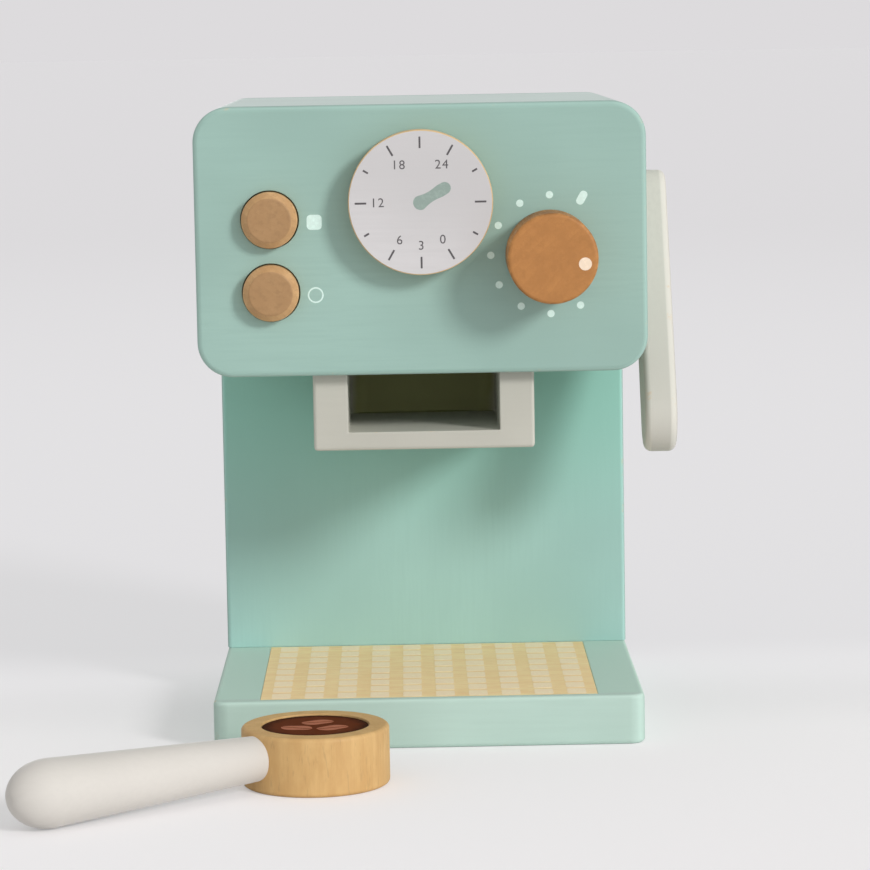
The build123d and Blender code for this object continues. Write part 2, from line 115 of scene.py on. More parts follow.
class CoffeeMakerColours(bpy.types.PropertyGroup):
    """Colours of the paints, prints and woods."""

    mint: colour("Mint", "Paint of the head", 150, 180, 170)
    # Painted light: the column's front gets a lighter, bluer copy of the mint, to offset the
    # shade under the head and the warm light from the tray.
    column_mint: colour("Column mint", "Paint of the column's front", 156, 194, 186)
    # Painted shade: the column's front turns into this greener mint high up, in the shade under
    # the head.
    shade_mint: colour("Shade mint", "Paint of the column's front, high up", 149, 200, 186)
    side_mint: colour("Side mint", "Paint of the column's sides and back", 151, 184, 174)
    # Painted light: the base's front gets a lighter copy of the mint, for light from the floor.
    base_mint: colour("Base mint", "Paint of the base's front", 177, 201, 190)
    # Painted light: the base's top behind its front gets a lighter copy of the mint, for light
    # falling on it.
    base_top_mint: colour("Base top mint", "Paint of the base behind its front", 180, 210, 196)
    white: colour("White", "Paint of the lever", 202, 199, 189)
    # Painted shade: the holder gets a darker copy of the white, for the shade under the head.
    holder_white: colour("Holder white", "Paint of the holder", 187, 185, 174)
    handle_white: colour("Handle white", "Paint of the handle", 208, 203, 196)
    # Painted light: the slot's floor and sides get a lighter copy of the holder's white.
    slot_white: colour("Slot white", "Paint on the floor and sides of the slot", 198, 196, 184)
    # Painted shade: the slot turns into this dark olive deep inside, where shade falls.
    slot_inside: colour("Slot inside", "Bare wood deep in the slot", 153, 153, 102)
    dial_white: colour("Dial white", "Paint of the dial's face", 200, 197, 197)
    dial_grey: colour("Dial grey", "Scale of the dial", 88, 84, 86)
    pointer: colour("Pointer", "Pointer of the dial", 142, 158, 150)
    panel_print: colour("Panel print", "Dots and symbols on the head", 210, 234, 226)
    index: colour("Index print", "Dot on the knob", 236, 214, 190)
    tray: colour("Tray", "Plate of the drip tray", 255, 225, 171)
    tray_square: colour("Tray squares", "Squares printed on the tray", 252, 229, 194)
    knob: colour("Knob", "Stained beech of the knob", 188, 133, 74)
    button: colour("Buttons", "Beech of the buttons", 211, 170, 121)
    beech: colour("Beech", "Beech of the cup", 206, 169, 113)
    rim: colour("Dial rim", "Beech rim of the dial", 214, 188, 146)
    bare: colour("Bare wood", "Wood inside the machine", 214, 182, 140)
    coffee: colour("Coffee", "Printed disc in the cup", 94, 42, 14)
    coffee_edge: colour("Coffee edge", "Dark rim of the printed disc", 50, 22, 8)
    bean: colour("Beans", "Beans printed on the disc", 172, 108, 82)
    steel: colour("Steel", "Screws and springs", 196, 196, 192)
    nylon: colour("Nylon", "Washer behind the lever", 226, 224, 216)
    floor: colour("Floor", "Light that the floor throws back", 236, 235, 236)
    near_floor: colour("Near floor", "Floor near by, to the camera", 211, 208, 209)
    middle_floor: colour("Middle floor", "Floor behind, to the camera", 133, 130, 134)
    far_floor: colour("Far floor", "Floor far away, to the camera", 113, 108, 113)
    air: colour("Air", "Beyond the floor, to the camera", 221, 219, 221)


class CoffeeMakerSizes(bpy.types.PropertyGroup):
    """Sizes of what the dressing adds to the frame."""

    joint_ease: length("Joint ease", "Eased edge where two boards meet", 0.3)
    print_thickness: length("Print thickness", "Height of a print above its board", 0.06)
    dial_face: length("Dial face", "Diameter of the white face of the dial", 44.3)
    long_tick: length("Long tick", "Length of the dial's long ticks", 3.6)
    short_tick: length("Short tick", "Length of the dial's short ticks", 1.8)
    tick_width: length("Tick width", "Width of the dial's ticks", 0.6)
    tick_radius: length("Tick radius", "Outer ends of the ticks, from the axis", 20.4)
    number_height: length("Number height", "Type size of the dial's numbers", 4.0)
    number_radius: length("Number radius", "Middle of the numbers, from the axis", 13.4)
    dot: length("Dot", "Diameter of the dots around the knob", 2.3)
    dot_radius: length("Dot radius", "Middle of the dots, from the knob's axis", 18.6)
    index_dot: length("Index dot", "Diameter of the white dot on the knob", 4.0)
    index_radius: length("Index radius", "Middle of the white dot, from the axis", 10.0)
    tray_pitch: length("Tray pitch", "Distance between the tray's squares", 10.5)
    tray_square: length("Tray square", "Width of the tray's squares", 6.0)
    tray_square_depth: length("Tray square depth", "Length of the tray's squares", 8.2)
    tray_columns: IntProperty(name="Columns", description="Squares across", min=1, default=10)
    tray_rows: IntProperty(name="Rows", description="Squares along", min=1, default=9)


class CoffeeMakerStage(bpy.types.PropertyGroup):
    """Camera and light of the studio."""

    camera_place: triple(
        "Camera", "Its place", "TRANSLATION", (-0.005, -1.154, 0.227), unit="LENGTH"
    )
    camera_pitch: angle("Pitch", "How far the camera looks down", 6.7)
    camera_yaw: angle("Yaw", "How far the camera looks to the right", 0.44)
    camera_roll: angle("Roll", "How far the camera leans", -1.0)
    lens: amount("Lens", "Focal length in millimetres", 142.9, 1)
    key_strength: amount("Key", "Strength of the key light", 1.78)
    key_softness: angle("Softness", "Angular size of the key light", 13)
    key_from: triple("Key from", "Way to the light", "DIRECTION", (0.626, -0.666, 0.406))
    right_strength: amount("Right", "Strength of the broad light at the right", 0.43)
    left_strength: amount("Left", "Strength of the broad light at the left", 0.21)
    world_strength: amount("Sky", "Strength of the soft light all round", 0.53)
    near_lift: amount("Near lift", "How much paler the near floor looks", 0.3)
    far_lift: amount("Far lift", "How much paler the far floor looks", 0.55)
    floor_width: length("Floor", "Width of the floor", 60000)


def colours():
    return bpy.context.scene.coffee_maker_colours


def sizes():
    return bpy.context.scene.coffee_maker_sizes


# ---- Finishes ----


def new_finish(name):
    """Start a node material, and give the place and the normal of its points."""
    finish = bpy.data.materials.new(f"{name}_finish")
    finish.use_nodes = True
    coordinates = finish.node_tree.nodes.new("ShaderNodeTexCoord").outputs
    return coordinates["Object"], coordinates["Normal"]


def is_socket(value):
    return isinstance(value, bpy.types.NodeSocket)


def feed(socket, value):
    """Link a socket to another one, or set it to a value."""
    if is_socket(value):
        socket.id_data.links.new(value, socket)
    else:
        socket.default_value = value


def add_node(kind, inputs, output=0, **settings):
    """The output of a new node, in the tree that its first link comes from."""
    tree = next(value.id_data for value in inputs.values() if is_socket(value))
    node = tree.nodes.new(kind)
    for name, value in settings.items():
        setattr(node, name, value)
    for name, value in inputs.items():
        feed(node.inputs[name], value)
    return node.outputs[output]


def join_shader(shade, roughness, relief=None, gloss=0.5, **more):
    """Link or set the shader's own sockets."""
    shader = shade.id_data.nodes["Principled BSDF"]
    look = {"Base Color": shade, "Roughness": roughness, "Specular IOR Level": gloss}
    if relief:
        look["Normal"] = relief
    look.update((name.replace("_", " "), value) for name, value in more.items())
    for name, value in look.items():
        feed(shader.inputs[name], value)
    return shader.outputs[0]


def math(operation, first, second=0.0):
    """The outcome of a sum on two sockets or numbers."""
    sockets = {0: first, 1: second}
    return add_node("ShaderNodeMath", sockets, operation=operation)


def between(value, low, high, out_low=0.0, out_high=1.0):
    """A value brought from one range to another, with soft ends."""
    sockets = dict(enumerate((value, low, high, out_low, out_high)))
    return add_node("ShaderNodeMapRange", sockets, interpolation_type="SMOOTHSTEP")


def blend(share, first, second):
    """Two colours mixed by a share."""
    share_socket, first_socket, second_socket, mixed = 0, 6, 7, 2
    sockets = {share_socket: share}
    for socket, value in ((first_socket, first), (second_socket, second)):
        sockets[socket] = value if is_socket(value) else (*value, 1)
    return add_node("ShaderNodeMix", sockets, mixed, data_type="RGBA", clamp_result=True)


def shaded(base, share, more=0.0, tint=(1, 1, 1)):
    """A colour made darker or lighter and tinted, with no part above 1."""
    return [min(1, part * share * hue + more) for part, hue in zip(base, tint)]


def part_of(vector, axis):
    """The part of a vector along X, Y or Z."""
    return add_node("ShaderNodeSeparateXYZ", {"Vector": vector}, axis)


def reach(place, middle=(0, 0, 0)):
    """How far a point is from a middle."""
    ends = {0: place, 1: middle}
    return add_node("ShaderNodeVectorMath", ends, "Value", operation="DISTANCE")


def stretched(place, grain, squeeze):
    """Coordinates squeezed along the grain, so that noise runs in fibres."""
    scale = [squeeze if axis == grain else 1 for axis in AXES]
    return add_node("ShaderNodeMapping", {"Vector": place, "Scale": scale})


def noise(vector, scale, detail=2.0, roughness=0.5):
    """Noise whose lumps are about one over the scale across."""
    inputs = {"Vector": vector, "Scale": scale, "Detail": detail, "Roughness": roughness}
    return add_node("ShaderNodeTexNoise", inputs, "Fac")


def edge_share(normal, axes=AXES):
    """1 on the rounded edges of a piece and 0 on its flat faces."""
    facing = [math("ABSOLUTE", part_of(normal, axis)) for axis in axes]
    steepest = facing[0]
    for part in facing[1:]:
        steepest = math("MAXIMUM", steepest, part)
    oblique = math("SUBTRACT", 1.0, steepest)
    if len(axes) == 1:
        oblique = math("MINIMUM", oblique, steepest)
    return between(oblique, 0.03, 0.25)


def bump(height, depth, strength, under=None):
    """A relief of that depth, on top of another one."""
    inputs = {"Height": height, "Distance": depth, "Strength": strength}
    if under:
        inputs["Normal"] = under
    return add_node("ShaderNodeBump", inputs)


def paint(name, base, grain="X", bare=None, edge_axes=AXES, dust=0.0, fade=None):
    """Water-based paint on wood: the grain shows faintly, and the rounded edges are painted
    lighter, partly as thin paint and partly as a painted highlight. fade gives another colour,
    an axis, and where along it the paint starts and ends to turn into that colour; the fades
    in this script paint light or shade."""
    place, normal = new_finish(name)
    fibres = noise(stretched(place, grain, 0.06), 900, 3)
    broad = noise(stretched(place, grain, 0.25), 45)
    stipple = noise(place, 1500, 3, 0.6)
    patches = noise(place, 14)
    pale, deep = shaded(base, 1.06, 0.006), shaded(base, 0.94)
    shade = blend(between(patches, 0.3, 0.7), deep, pale)
    shade = blend(between(fibres, 0.35, 0.75, 0, 0.35), shade, deep)
    if fade:
        other, axis, start, end = fade
        wander = math("MULTIPLY", math("SUBTRACT", broad, 0.5), 0.006)
        depth = math("ADD", part_of(place, axis), wander)
        shade = blend(between(depth, start, end), shade, other)
    if bare:
        edges = edge_share(normal, edge_axes)
        # Rounded edges painted lighter: partly thin paint, partly a painted highlight.
        shade = blend(math("MULTIPLY", edges, 0.6), shade, shaded(base, 1.16, 0.02))
        rubbed = between(noise(place, 160, 4, 0.65), 0.6, 0.74)
        share = math("MULTIPLY", math("MULTIPLY", edges, rubbed), 0.55)
        shade = blend(share, shade, bare)
    relief = bump(broad, 0.00012, 0.35)
    relief = bump(fibres, 0.00006, 0.35, relief)
    relief = bump(stipple, 0.00005, 0.4, relief)
    rough = between(stipple, 0.3, 0.7, 0.6, 0.72)
    join_shader(shade, rough, relief, 0.3, Sheen_Weight=dust, Sheen_Roughness=0.35)


def beech(name, base, grain, pith, ring=2.4, contrast=0.5, flecks=0.4, end=0.0):
    """Turned or sawn beech: growth rings round a pith, fine fibres and short dark flecks.
    end is how much darker the end grain is."""
    place, normal = new_finish(name)
    turns = {"X": (0, -pi / 2, 0), "Y": (pi / 2, 0, 0), "Z": (0, 0, 0)}
    log = {"Vector": place, "Rotation": turns[grain], "Location": pith}
    place = add_node("ShaderNodeMapping", log)
    wave = {"Vector": stretched(place, "Z", 0.08), "Scale": 0.314 / (ring * MM)}
    wave |= {"Distortion": 3.5, "Detail": 3, "Detail Scale": 0.35, "Detail Roughness": 0.55}
    kind = {"wave_type": "RINGS", "rings_direction": "Z", "wave_profile": "SAW"}
    rings = add_node("ShaderNodeTexWave", wave, "Fac", **kind)
    fibres = noise(stretched(place, "Z", 0.04), 2200, 3, 0.6)
    pores = noise(stretched(place, "Z", 0.16), 1300)
    clouds = noise(stretched(place, "Z", 0.4), 190, 4, 0.6)
    deep = shaded(base, 1 - 0.4 * contrast, tint=(1.03, 0.96, 0.88))
    pale = shaded(base, 1 + 0.16 * contrast)
    shade = blend(between(clouds, 0.32, 0.68), deep, pale)
    shade = blend(between(rings, 0.1, 1, 0, 0.5), shade, deep)
    shade = blend(between(fibres, 0.42, 0.8, 0, 0.4), shade, deep)
    shade = blend(between(pores, 0.6, 0.72, 0, flecks), shade, shaded(base, 0.5))
    if end:
        facing = math("ABSOLUTE", part_of(normal, grain))
        share = between(facing, 0.5, 0.99, 0, 0.8)
        oiled = shaded(base, 1 - end, tint=(1.0, 0.91, 0.83))
        shade = blend(share, shade, oiled)
        specks = between(noise(place, 520, 3, 0.6), 0.45, 0.7, 0, 0.4)
        shade = blend(math("MULTIPLY", specks, share), shade, shaded(oiled, 0.8))
    relief = bump(fibres, 0.00005, 0.45, bump(rings, 0.00004, 0.3))
    join_shader(shade, between(fibres, 0.3, 0.7, 0.54, 0.68), relief, 0.42)


def ink(name, base, rim=None, gloss=0.3):
    """Printed ink with the faint mottle of a pad print. rim gives a second colour, the
    middle of a round print and the radius beyond which the second colour shows."""
    place, _ = new_finish(name)
    mottle = noise(place, 1100, 3, 0.6)
    shade = blend(between(mottle, 0.45, 0.75), base, shaded(base, 1.1, 0.012))
    if rim:
        outer, middle, radius = rim
        wander = math("MULTIPLY", noise(place, 240, 3), 0.004)
        out = math("ADD", reach(place, middle), wander)
        share = between(out, radius - 0.003, radius + 0.002)
        shade = blend(share, shade, outer)
    rough = between(mottle, 0.3, 0.7, 0.62, 0.74)
    join_shader(shade, rough, bump(mottle, 0.00003, 0.3), gloss)


def metal(name, base):
    """Plated steel with fine drawn marks."""
    place, _ = new_finish(name)
    marks = noise(stretched(place, "X", 0.1), 2600, 3)
    shade = blend(noise(place, 420), shaded(base, 0.8), base)
    rough = between(marks, 0.3, 0.7, 0.28, 0.46)
    join_shader(shade, rough, bump(marks, 0.00002, 0.3), Metallic=1.0)


def nylon(name, base):
    """Moulded nylon with a fine sparked texture."""
    place, _ = new_finish(name)
    grit = noise(place, 2400, 3)
    shade = blend(grit, shaded(base, 0.92), base)
    rough, relief = between(grit, 0.3, 0.7, 0.38, 0.5), bump(grit, 0.00003, 0.4)
    join_shader(shade, rough, relief, Subsurface_Weight=0.05, Subsurface_Scale=0.002)


def finish_of(name):
    """A finish that the first operator made."""
    found = bpy.data.materials.get(f"{name}_finish")
    if not found:
        raise RuntimeError(f"there is no finish named {name}: make the finishes first")
    return found


# ---- Shaping pieces ----


def select_only(*pieces):
    """Select these pieces and nothing else."""
    bpy.ops.object.select_all(action="DESELECT")
    for piece in pieces:
        piece.select_set(True)
    bpy.context.view_layer.objects.active = pieces[0]


@contextmanager
def editing(piece, select="DESELECT"):
    """Open a piece in edit mode, with none or all of it selected."""
    select_only(piece)
    bpy.ops.object.mode_set(mode="EDIT")
    bpy.ops.mesh.select_all(action=select)
    yield piece
    bpy.ops.object.mode_set(mode="OBJECT")


def pick(piece, kind, test):
    """In edit mode, select the faces, edges or corners that pass the test."""
    bpy.ops.mesh.select_mode(type=kind)
    bpy.ops.mesh.select_all(action="DESELECT")
    form = bmesh.from_edit_mesh(piece.data)
    for part in {"FACE": form.faces, "EDGE": form.edges, "VERT": form.verts}[kind]:
        if test(part):
            part.select_set(True)
    bmesh.update_edit_mesh(piece.data)


def pick_edges(piece, test):
    """In edit mode, select the edges whose two ends pass the test."""
    pick(piece, "EDGE", lambda edge: test(edge.verts[0].co, edge.verts[1].co))


def along(axis):
    """A test for edges that run along x, y or z."""
    return lambda start, end: abs(getattr(end - start, axis)) > 0.999 * (end - start).length


def at(axis, value):
    """A test for edges that lie at a value of x, y or z."""
    return lambda *ends: all(abs(getattr(end, axis) - value) < NEAR for end in ends)


def on_rim(height, radius):
    """A test for edges on a rim of a form that stands along +Z."""
    level = at("z", height)
    return lambda *ends: level(*ends) and all(
        abs(end.xy.length - radius) < NEAR for end in ends
    )


def round_edges(piece, radius, segments, *tests):
    """Round the edges that pass any of the tests."""
    with editing(piece):
        pick_edges(piece, lambda *ends: any(test(*ends) for test in tests))
        bpy.ops.mesh.bevel(offset=radius, segments=segments, profile=0.5, affect="EDGES")


def round_uprights(piece, y, radius, segments=4):
    """Round the upright edges that lie at a value of y."""
    upright, there = along("z"), at("y", y)
    round_edges(piece, radius, segments, lambda *ends: upright(*ends) and there(*ends))


def ease_sharp(piece, radius):
    """Ease every edge that is still sharp."""
    with editing(piece):
        bpy.ops.mesh.select_mode(type="EDGE")
        bpy.ops.mesh.edges_select_sharp(sharpness=radians(40))
        bpy.ops.mesh.bevel(offset=radius, segments=2, profile=0.5, affect="EDGES")


def tidy_mesh(piece):
    """Merge doubled points and turn all faces outwards."""
    with editing(piece, "SELECT"):
        bpy.ops.mesh.remove_doubles(threshold=1e-7)
        bpy.ops.mesh.normals_make_consistent(inside=False)


def apply_place(piece):
    """Put the place, turn and size of a piece into its mesh."""
    select_only(piece)
    bpy.ops.object.transform_apply(location=True, rotation=True, scale=True)


def apply_modifier(piece, kind, **settings):
    """Add a modifier to a piece, set it up and apply it."""
    select_only(piece)
    bpy.ops.object.modifier_add(type=kind)
    modifier = piece.modifiers[-1]
    for name, value in settings.items():
        setattr(modifier, name, value)
    bpy.ops.object.modifier_apply(modifier=modifier.name)


def stand(piece, direction, origin):
    """Turn a piece from +Z to a direction and move its foot to a point."""
    turn = UP.rotation_difference(Vector(direction)).to_matrix().to_4x4()
    piece.matrix_world = Matrix.Translation(origin) @ turn
    apply_place(piece)
    return piece


def block(name, low, high):
    """A block between two corners."""
    bpy.ops.mesh.primitive_cube_add(size=1, location=(low + high) / 2, scale=high - low)
    piece = bpy.context.object
    piece.name = name
    apply_place(piece)
    return piece


def flat_disc(sides, radius, height=0.0):
    """A flat disc that lies level."""
    bpy.ops.mesh.primitive_circle_add(
        vertices=sides, radius=radius, fill_type="NGON", location=(0, 0, height)
    )
    piece = bpy.context.object
    apply_place(piece)
    return piece


def turned(name, outline, sides=96, rims=()):
    """A closed turned form along +Z. The outline lists heights and radii from end to end,
    and rims lists the height, radius, rounding and segments of each rounded rim."""
    (height, radius), *steps = outline
    piece = flat_disc(sides, radius, height)
    piece.name = name
    with editing(piece, "SELECT"):
        for next_height, next_radius in steps:
            rise, share = next_height - height, next_radius / radius
            bpy.ops.mesh.extrude_region_move(TRANSFORM_OT_translate={"value": (0, 0, rise)})
            bpy.ops.transform.resize(
                value=(share, share, 1), center_override=(0, 0, next_height)
            )
            height, radius = next_height, next_radius
    tidy_mesh(piece)
    for height, radius, size, segments in rims:
        round_edges(piece, size, segments, on_rim(height, radius))
    return piece


def cut(piece, cutter):
    """Cut a form out of a piece."""
    apply_modifier(piece, "BOOLEAN", operation="DIFFERENCE", solver="EXACT", object=cutter)
    bpy.data.objects.remove(cutter)


def inset(low, high, step):
    """Two values, each moved towards the other by a step."""
    return low + step, high - step


def countersink(piece, all_x, all_y, all_z, inward):
    """Sink a conical seat for a screw where the values of x, y and z meet."""
    above, deep, far = -0.5 * MM, 2.3 * MM, 9 * MM
    head, shank = 4.05 * MM, 1.8 * MM
    for place in product(all_x, all_y, all_z):
        seat = turned("seat", [(above, head), (deep, shank), (far, shank)], 48)
        cut(piece, stand(seat, inward, place))


def turned_disc(name, node, sides, front_rim, rear_rim):
    """A disc as large as a CAD node, in its place. Each rim has its rounding and segments."""
    low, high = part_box(node)
    radius, depth = (high.x - low.x) / 2, high.y - low.y
    rims = [(depth, radius, *front_rim), (0, radius, *rear_rim)]
    disc = turned(name, [(0, radius), (depth, radius)], sides, rims)
    return stand(disc, FRONT, middle_of(node, y=high.y))


def merged(name, pieces):
    """Several forms as one piece."""
    select_only(*pieces)
    bpy.ops.object.join()
    pieces[0].name = name
    return pieces[0]


def hand_over(piece, body, slot, finish, *nodes, smooth=35):
    """Smooth a piece, give it its finish, hang it on its body and hide the CAD nodes it stands
    for.
    """
    select_only(piece)
    bpy.ops.object.shade_smooth_by_angle(angle=radians(smooth))
    apply_modifier(piece, "WEIGHTED_NORMAL", keep_sharp=True)
    piece.data.materials.clear()
    piece.data.materials.append(finish_of(finish))
    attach(piece, body)
    if nodes:
        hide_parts(*nodes)


def finish_faces(piece, finish, test):
    """Give a second finish to the faces whose middle and normal pass the test."""
    piece.data.materials.append(finish_of(finish))
    with editing(piece):
        pick(piece, "FACE", lambda face: test(face.calc_center_median(), face.normal))
        piece.active_material_index = 1
        bpy.ops.object.material_slot_assign()


def middle_of(node, **given):
    """The middle of a CAD node, moved to the given values of x, y or z."""
    low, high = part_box(node)
    middle = (low + high) / 2
    for axis, value in given.items():
        setattr(middle, axis, value)
    return middle


# ---- Prints: thin raised forms, drawn on the ground and stood on their board ----


def lay(piece, x, y, degrees=0.0):
    """Turn a flat form and move it, on the ground."""
    piece.rotation_euler.z = radians(degrees)
    piece.location = (x, y, 0)
    apply_place(piece)
    return piece


def thicken(piece):
    """Give a flat form the thickness of a print, a third of it in the ground."""
    rise = Vector((0, 0, sizes().print_thickness))
    with editing(piece, "SELECT"):
        bpy.ops.mesh.extrude_region_move(TRANSFORM_OT_translate={"value": rise})
    tidy_mesh(piece)
    with editing(piece, "SELECT"):
        bpy.ops.transform.translate(value=-rise / 3)
    return piece


def print_bar(width, depth, x, y, degrees=0.0, corner=0.3):
    """A printed bar with rounded corners."""
    bpy.ops.mesh.primitive_plane_add(size=1)
    piece = bpy.context.object
    piece.scale = (width, depth, 1)
    apply_place(piece)
    radius = min(width, depth) * corner
    with editing(piece, "SELECT"):
        bpy.ops.mesh.bevel(offset=radius, segments=3, affect="VERTICES")
    return thicken(lay(piece, x, y, degrees))


def print_disc(diameter, x, y):
    """A printed dot."""
    return thicken(lay(flat_disc(32, diameter / 2), x, y))


def print_number(number, x, y):
    """A plain printed number."""
    bpy.ops.object.text_add(location=(0, 0, 0))
    words = bpy.context.object.data
    words.body = str(number)
    words.size = sizes().number_height
    words.align_x = words.align_y = "CENTER"
    words.space_character = 1.15
    words.resolution_u = 4
    words.extrude = sizes().print_thickness / 2
    bpy.ops.object.convert(target="MESH")
    piece = bpy.context.object
    piece.location = (x, y, sizes().print_thickness / 6)
    apply_place(piece)
    tidy_mesh(piece)
    return piece


def around(radius, degrees):
    """The x and y of a point on a circle."""
    return radius * cos(radians(degrees)), radius * sin(radians(degrees))


# ---- Operators, one for each piece or group of like pieces ----

SLOT_FINISHES = {
    "mint_paint": "mint_across",
    "white_paint": "white_holder",
    "tray_plate": "tray",
    "dial_face": "rim",
    "warm_beech": "button",
    "pale_beech": "cup",
    "bare_beech": "bare",
    "coffee_brown": "coffee",
    "nylon": "nylon",
    "zinc_steel": "steel",
    "spring_steel": "steel",
}


class Finishes(bpy.types.Operator):
    """Make every finish and give each CAD node the finish of its slot"""

    bl_idname = "coffee_maker.finishes"
    bl_label = "Finishes"

    def execute(self, context):
        c = colours()
        base_y, holder_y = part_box("base_board")[0].y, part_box("holder")[0].y
        # Fades of painted light and shade: greener mint high up on the column's front, lighter
        # mint on the base's top behind its front, and dark olive deep in the slot.
        painted_shade_high_up = (c.shade_mint, "Z", 45 * MM, 105 * MM)
        behind = (c.base_top_mint, "Y", base_y + 2.5 * MM, base_y + 6.5 * MM)
        inside = (c.slot_inside, "Y", holder_y + 53 * MM, holder_y + 57 * MM)
        paints = (
            ("mint_across", c.mint, "X", 0.15, None),
            ("mint_deep", c.mint, "Y", 0.15, None),
            ("mint_upright", c.column_mint, "Z", 0.15, painted_shade_high_up),
            ("mint_side", c.side_mint, "Z", 0.15, None),
            ("mint_base", c.base_mint, "X", 0.15, behind),
            ("mint_top", c.mint, "X", 0.6, None),
            # Painted shade: the holder's white is darker than the lever's.
            ("white_holder", c.holder_white, "X", 0.2, None),
        )
        for name, shade, grain, dust, fade in paints:
            paint(name, shade, grain, c.bare, dust=dust, fade=fade)
        paint("white_lever", c.white, "Z", c.bare, ("X",), dust=0.2)
        paint("white_handle", c.handle_white, dust=0.5)
        paint("dial_white", c.dial_white)
        # Painted light and shade in the slot: a lighter white that turns dark olive deep
        # inside.
        paint("slot", c.slot_white, "Y", fade=inside)
        beech("tray", c.tray, "X", (0, 0.2, 0.3), 3.4, 0.22, 0.2)
        beech("knob", c.knob, "Y", (-0.1, 0.09, 0.0), 2.6, 1.1, 0.6, 0.14)
        beech("button", c.button, "Y", (0.09, 0.1, 0.0), 2.2, 0.5, 0.4, 0.5)
        beech("cup", c.beech, "Z", (0.02, 0.3, 0), 2.6, 0.3, 0.25)
        beech("rim", c.rim, "X", (0, 0.2, 0.3), 2.4, 0.3, 0.3)
        beech("bare", c.bare, "Y", (0.1, 0.2, 0.05), 2.4, 0.45)
        for name in ("dial_grey", "pointer", "panel_print", "index", "tray_square"):
            ink(name, getattr(c, name))
        middle = middle_of("coffee_disc", z=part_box("coffee_disc")[1].z)
        ink("coffee", c.coffee, (c.coffee_edge, middle, 16.5 * MM), 0.03)
        ink("bean", c.bean, gloss=0.05)
        metal("steel", c.steel)
        nylon("nylon", c.nylon)
        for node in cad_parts.values():
            for seat in node.material_slots:
                seat.material = finish_of(SLOT_FINISHES[seat.material.name])
        return {"FINISHED"}


def finish_board(piece, node, way):
    """Ease what is still sharp on a board and give it its paint."""
    ease_sharp(piece, sizes().joint_ease)
    tidy_mesh(piece)
    piece.name = f"{node}_painted"
    hand_over(piece, "machine", "mint_paint", f"mint_{way}", node)


def shape_base():
    """The base with its rounded edges, the tray's pocket and the screw holes."""
    low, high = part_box("base_board")
    board = block("base", low, high)
    corner, edge = 5 * MM, 1.5 * MM
    round_uprights(board, low.y, corner, 10)
    round_edges(board, edge, 4, at("z", low.z), at("z", high.z), at("y", high.y))
    tray_low, tray_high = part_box("drip_tray_plate")
    gap = Vector((0.05, 0.05, 0)) * MM
    cut(board, block("pocket", tray_low - gap, tray_high + gap + UP * MM))
    screw_low, screw_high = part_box("base_screws")
    step = 3.5 * MM
    all_x = inset(screw_low.x, screw_high.x, step)
    all_y = inset(screw_low.y, screw_high.y, step)
    countersink(board, all_x, all_y, [low.z], UP)
    finish_board(board, "base_board", "base")


def sink_rear_screws(board, node, from_end):
    """Sink the seats of the four screws of a rear board."""
    low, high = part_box(node)
    all_x = inset(low.x, high.x, 4.5 * MM)
    countersink(board, all_x, [high.y], inset(low.z, high.z, from_end), FRONT)


def shape_column():
    """The four panels of the column."""
    corner, node = 1.5 * MM, "column_front_panel"
    front = block("front", *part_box(node))
    round_uprights(front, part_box(node)[0].y, corner)
    finish_board(front, node, "upright")
    finish_faces(front, "mint_side", lambda middle, normal: abs(normal.x) > 0.7)
    for node in ("column_left_panel", "column_right_panel"):
        finish_board(block(node, *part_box(node)), node, "side")
    node = "column_rear_cover"
    rear = block("rear", *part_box(node))
    round_uprights(rear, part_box(node)[1].y, corner)
    sink_rear_screws(rear, node, 30 * MM)
    finish_board(rear, node, "side")


def head_outline(low, high):
    """A block with the rounded outline of the head."""
    piece = block("outline", low, high)
    round_edges(piece, 11 * MM, 14, along("y"))
    return piece


def shape_head_ring():
    """Each board of the ring, sawn from a block with the head's outline."""
    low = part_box("head_bottom_board")[0].copy()
    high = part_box("head_top_board")[1].copy()
    panel_low, panel_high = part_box("head_front_panel")
    low.x, high.x = panel_low.x, panel_high.x
    left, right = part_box("head_left_board"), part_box("head_right_board")
    floor, ceiling = (0, 0, left[0].z), (0, 0, left[1].z)
    sides = [(ceiling, UP), (floor, -UP)]
    boards = (
        ("head_top_board", "top", [(ceiling, -UP)]),
        ("head_bottom_board", "across", [(floor, UP)]),
        ("head_left_board", "deep", [((left[1].x, 0, 0), RIGHT), *sides]),
        ("head_right_board", "deep", [((right[0].x, 0, 0), -RIGHT), *sides]),
    )
    for node, way, planes in boards:
        board = head_outline(low, high)
        for point, away in planes:
            with editing(board, "SELECT"):
                bpy.ops.mesh.bisect(
                    plane_co=point, plane_no=away, use_fill=True, clear_outer=True
                )
        finish_board(board, node, way)


def shape_head_panels():
    """The front panel with the holes for the buttons, and the rear panel."""
    rim, bore = 1.8 * MM, 9.1 * MM
    low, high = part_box("head_front_panel")
    panel = head_outline(low, high)
    round_edges(panel, rim, 6, at("y", low.y))
    for node in ("button_upper", "button_lower"):
        hole = turned("hole", [(0, bore), (12 * MM, bore)])
        cut(panel, stand(hole, FRONT, middle_of(node, y=high.y + MM)))
    finish_board(panel, "head_front_panel", "across")
    node = "head_rear_panel"
    panel = head_outline(*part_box(node))
    round_edges(panel, rim, 6, at("y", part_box(node)[1].y))
    sink_rear_screws(panel, node, 20 * MM)
    finish_board(panel, node, "across")


class Boards(bpy.types.Operator):
    """Saw, round and ease the painted boards of the base, the column and the head"""

    bl_idname = "coffee_maker.boards"
    bl_label = "Boards"

    def execute(self, context):
        shape_base()
        shape_column()
        shape_head_ring()
        shape_head_panels()
        return {"FINISHED"}


